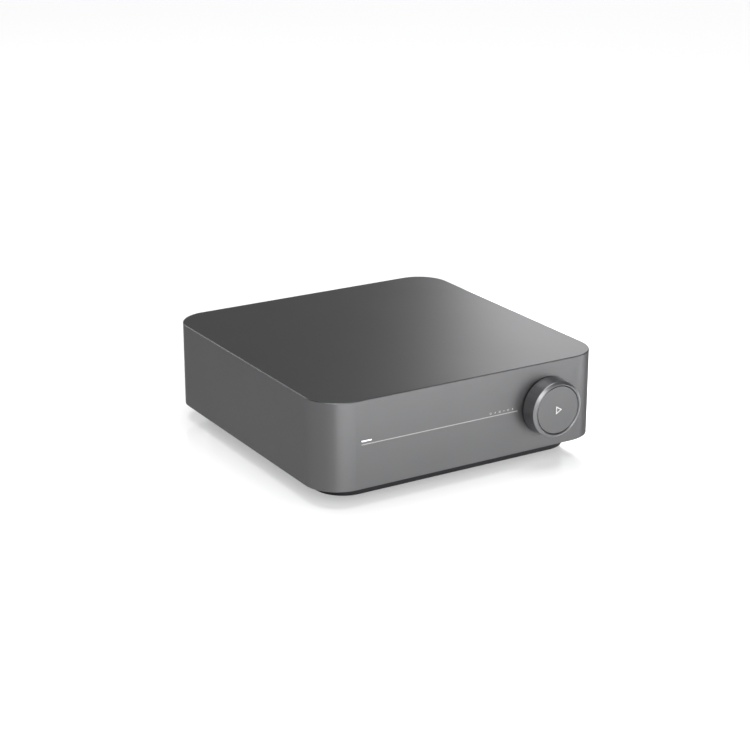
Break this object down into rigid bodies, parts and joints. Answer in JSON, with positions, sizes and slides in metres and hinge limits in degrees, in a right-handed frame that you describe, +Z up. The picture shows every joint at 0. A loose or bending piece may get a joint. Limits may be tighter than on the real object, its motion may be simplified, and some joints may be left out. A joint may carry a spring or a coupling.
{
  "type": "streaming amplifier",
  "caption": "Square aluminium home streaming amplifier with round corners, inset base, front volume knob with a push-button centre, and loudspeaker posts and sockets behind.",
  "frame": {"origin": "on the floor under the middle of the square body, in the plane of the rubber foot", "axes": "+Z up, +Y from the front panel to the rear panel, +X to the right along the front"},
  "size_m": [0.19, 0.2188, 0.063],
  "materials": {
    "anodised_aluminium": "fine bead blasted and anodised space grey, satin",
    "knob_aluminium": "turned and anodised space grey, satin with a bright bevel",
    "white_inlay": "white filled line, satin",
    "lamp_guide": "milky clear acrylic",
    "black_plastic": "fine textured moulded black",
    "foot_rubber": "matt moulded silicone",
    "black_panel": "satin black moulded panel",
    "zinc_steel": "zinc plated steel",
    "black_screw_steel": "black oxide steel",
    "brass_bush": "turned brass",
    "gold_plate": "gold plated brass, polished",
    "nickel_shell": "nickel plated steel sheet",
    "post_black": "black acetal",
    "post_red": "red acetal",
    "insert_white": "white acetal",
    "insert_red": "red acetal",
    "insert_black": "black acetal",
    "circuit_board": "green solder mask on glass epoxy",
    "white_nylon": "natural nylon",
    "chip_epoxy": "black epoxy",
    "spreader_aluminium": "extruded mill finish",
    "ferrite": "dark ferrite",
    "film_case": "red film capacitor case",
    "can_sleeve": "shrink sleeve on an aluminium can"
  },
  "bodies": {
    "chassis": {"top_shell": "anodised_aluminium", "front_line": "white_inlay", "status_guide": "lamp_guide", "light_board": "circuit_board", "base_plate": "zinc_steel", "base_pan": "black_plastic", "foot_ring": "foot_rubber", "base_screws": "black_screw_steel", "front_bush": "brass_bush", "bush_nut": "zinc_steel", "code_sensor": "chip_epoxy", "knob_board": "circuit_board", "knob_board_screws": "zinc_steel", "button_guide": "white_nylon", "push_switch": "chip_epoxy", "rear_panel": "black_panel", "post_studs": "gold_plate", "post_collars": "post_black", "post_board": "circuit_board", "phono_block": "black_plastic", "phono_barrels": "gold_plate", "line_in_left_insert": "insert_white", "line_in_right_insert": "insert_red", "sub_out_insert": "insert_black", "optical_jack": "black_plastic", "video_jack": "nickel_shell", "usb_jack": "nickel_shell", "port_tongues": "insert_black", "network_jack": "black_plastic", "mains_inlet": "black_plastic", "inlet_pins": "nickel_shell", "main_board": "circuit_board", "power_board": "circuit_board", "board_standoffs": "brass_bush", "board_screws": "zinc_steel", "amplifier_chips": "chip_epoxy", "heat_spreader": "spreader_aluminium", "filter_coils": "ferrite", "filter_capacitors": "film_case", "wireless_module": "nickel_shell", "aerial_boards": "circuit_board", "transformer": "ferrite", "bulk_capacitors": "can_sleeve", "mains_choke": "ferrite", "ribbon_connectors": "white_nylon", "front_ribbon": "white_nylon"},
    "volume_knob": {"knob_ring": "knob_aluminium", "knob_hub": "white_nylon", "shaft_clip": "zinc_steel", "code_wheel": "white_nylon"},
    "centre_button": {"play_button": "knob_aluminium"},
    "optical_flap": {"optical_shutter": "black_plastic"},
    "right_minus_clamp": {"right_minus_washer": "post_black"},
    "right_minus_screw": {"right_minus_cap": "gold_plate"},
    "right_plus_clamp": {"right_plus_washer": "post_red"},
    "right_plus_screw": {"right_plus_cap": "gold_plate"},
    "left_minus_clamp": {"left_minus_washer": "post_black"},
    "left_minus_screw": {"left_minus_cap": "gold_plate"},
    "left_plus_clamp": {"left_plus_washer": "post_red"},
    "left_plus_screw": {"left_plus_cap": "gold_plate"}
  },
  "joints": [
    {"name": "volume_turn", "type": "hinge", "parent": "chassis", "child": "volume_knob", "pos_m": [0.055, -0.095, 0.0369], "axis": [0, 1, 0], "continuous": true},
    {"name": "button_press", "type": "slide", "parent": "chassis", "child": "centre_button", "axis": [0, 1, 0], "range_m": [0, 0.0006], "stiffness_N_per_m": 3000},
    {"name": "optical_flap_swing", "type": "hinge", "parent": "chassis", "child": "optical_flap", "pos_m": [-0.0114, 0.0931, 0.0283], "axis": [-1, 0, 0], "range_deg": [0, 75], "stiffness_Nm_per_rad": 0.002, "springref_deg": -11.46},
    {"name": "right_minus_clamp_slide", "type": "slide", "parent": "chassis", "child": "right_minus_clamp", "axis": [0, 1, 0], "range_m": [0, 0.004]},
    {"name": "right_minus_cap_turn", "type": "hinge", "parent": "right_minus_clamp", "child": "right_minus_screw", "pos_m": [-0.039, 0.094, 0.0325], "axis": [0, 1, 0], "range_deg": [0, 1800]},
    {"name": "right_plus_clamp_slide", "type": "slide", "parent": "chassis", "child": "right_plus_clamp", "axis": [0, 1, 0], "range_m": [0, 0.004]},
    {"name": "right_plus_cap_turn", "type": "hinge", "parent": "right_plus_clamp", "child": "right_plus_screw", "pos_m": [-0.058, 0.094, 0.0325], "axis": [0, 1, 0], "range_deg": [0, 1800]},
    {"name": "left_minus_clamp_slide", "type": "slide", "parent": "chassis", "child": "left_minus_clamp", "axis": [0, 1, 0], "range_m": [0, 0.004]},
    {"name": "left_minus_cap_turn", "type": "hinge", "parent": "left_minus_clamp", "child": "left_minus_screw", "pos_m": [-0.039, 0.094, 0.0515], "axis": [0, 1, 0], "range_deg": [0, 1800]},
    {"name": "left_plus_clamp_slide", "type": "slide", "parent": "chassis", "child": "left_plus_clamp", "axis": [0, 1, 0], "range_m": [0, 0.004]},
    {"name": "left_plus_cap_turn", "type": "hinge", "parent": "left_plus_clamp", "child": "left_plus_screw", "pos_m": [-0.058, 0.094, 0.0515], "axis": [0, 1, 0], "range_deg": [0, 1800]}
  ],
  "couplings": [
    {"joint": "right_minus_cap_turn", "follows": "right_minus_clamp_slide", "rad_per_m": 7854},
    {"joint": "right_plus_cap_turn", "follows": "right_plus_clamp_slide", "rad_per_m": 7854},
    {"joint": "left_minus_cap_turn", "follows": "left_minus_clamp_slide", "rad_per_m": 7854},
    {"joint": "left_plus_cap_turn", "follows": "left_plus_clamp_slide", "rad_per_m": 7854}
  ]
}
